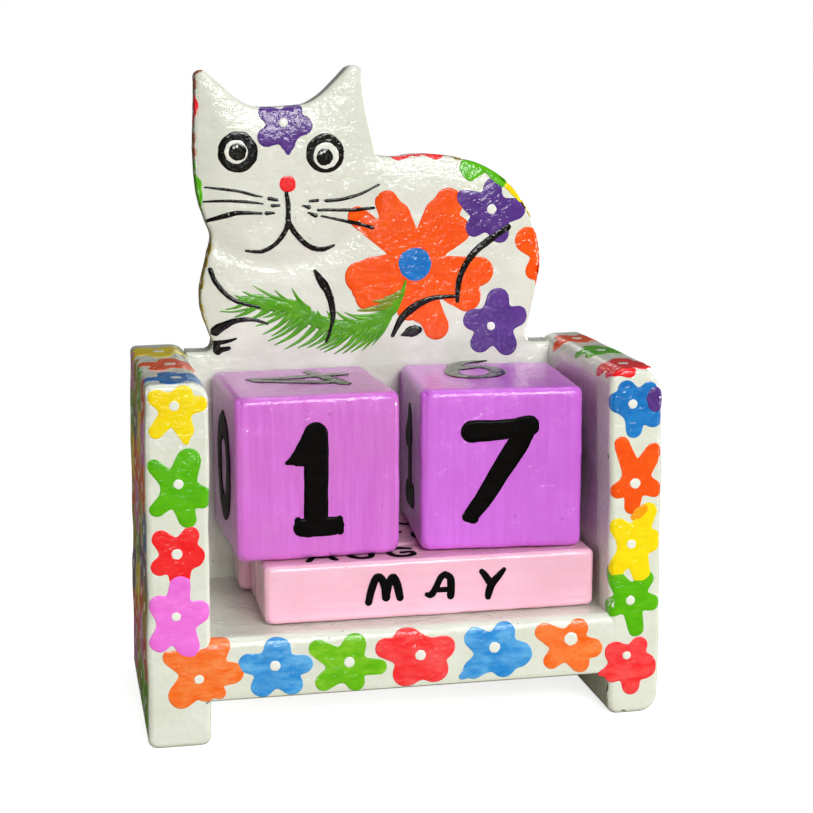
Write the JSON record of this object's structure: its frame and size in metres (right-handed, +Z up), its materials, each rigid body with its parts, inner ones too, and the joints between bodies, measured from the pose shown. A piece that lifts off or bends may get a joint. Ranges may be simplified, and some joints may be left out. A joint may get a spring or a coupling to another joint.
{
  "type": "perpetual desk calendar",
  "caption": "Painted wooden bench with a cat-shaped back board, holding loose day cubes on a row of loose month bars that are turned and swapped to show the date.",
  "frame": {"origin": "on the table, under the middle of the bench's footprint", "axes": "+Z up, -Y towards the reader, +X to the reader's right"},
  "size_m": [0.1198, 0.0584, 0.1501],
  "materials": {
    "white_enamel": "brushed gloss enamel on wood, ivory white",
    "violet_paint": "brushed satin paint on wood, orchid violet",
    "pink_paint": "brushed satin paint on wood, pale pink",
    "nail_steel": "plain drawn wire"
  },
  "bodies": {
    "bench": {"left_arm": "white_enamel", "right_arm": "white_enamel", "seat_board": "white_enamel", "cat_back_board": "white_enamel", "left_arm_nail_front": "nail_steel", "left_arm_nail_rear": "nail_steel", "left_arm_nail_upper": "nail_steel", "right_arm_nail_front": "nail_steel", "right_arm_nail_rear": "nail_steel", "right_arm_nail_upper": "nail_steel", "back_board_nail_left": "nail_steel", "back_board_nail_right": "nail_steel"},
    "day_cube_left": {"day_cube_left": "violet_paint"},
    "day_cube_right": {"day_cube_right": "violet_paint"},
    "month_bar_rear": {"month_bar_rear": "pink_paint"},
    "month_bar_middle": {"month_bar_middle": "pink_paint"},
    "month_bar_front": {"month_bar_front": "pink_paint"}
  },
  "joints": [
    {"name": "left_cube_lift", "type": "slide", "parent": "bench", "child": "day_cube_left", "axis": [0, 0, 1], "range_m": [0, 0.05]},
    {"name": "right_cube_lift", "type": "slide", "parent": "bench", "child": "day_cube_right", "axis": [0, 0, 1], "range_m": [0, 0.05]},
    {"name": "rear_bar_slide", "type": "slide", "parent": "bench", "child": "month_bar_rear", "axis": [0, -1, 0], "range_m": [0, 0.052]},
    {"name": "middle_bar_slide", "type": "slide", "parent": "month_bar_rear", "child": "month_bar_middle", "axis": [0, -1, 0], "range_m": [0, 0.038]},
    {"name": "front_bar_slide", "type": "slide", "parent": "month_bar_middle", "child": "month_bar_front", "axis": [0, -1, 0], "range_m": [0, 0.024]}
  ]
}
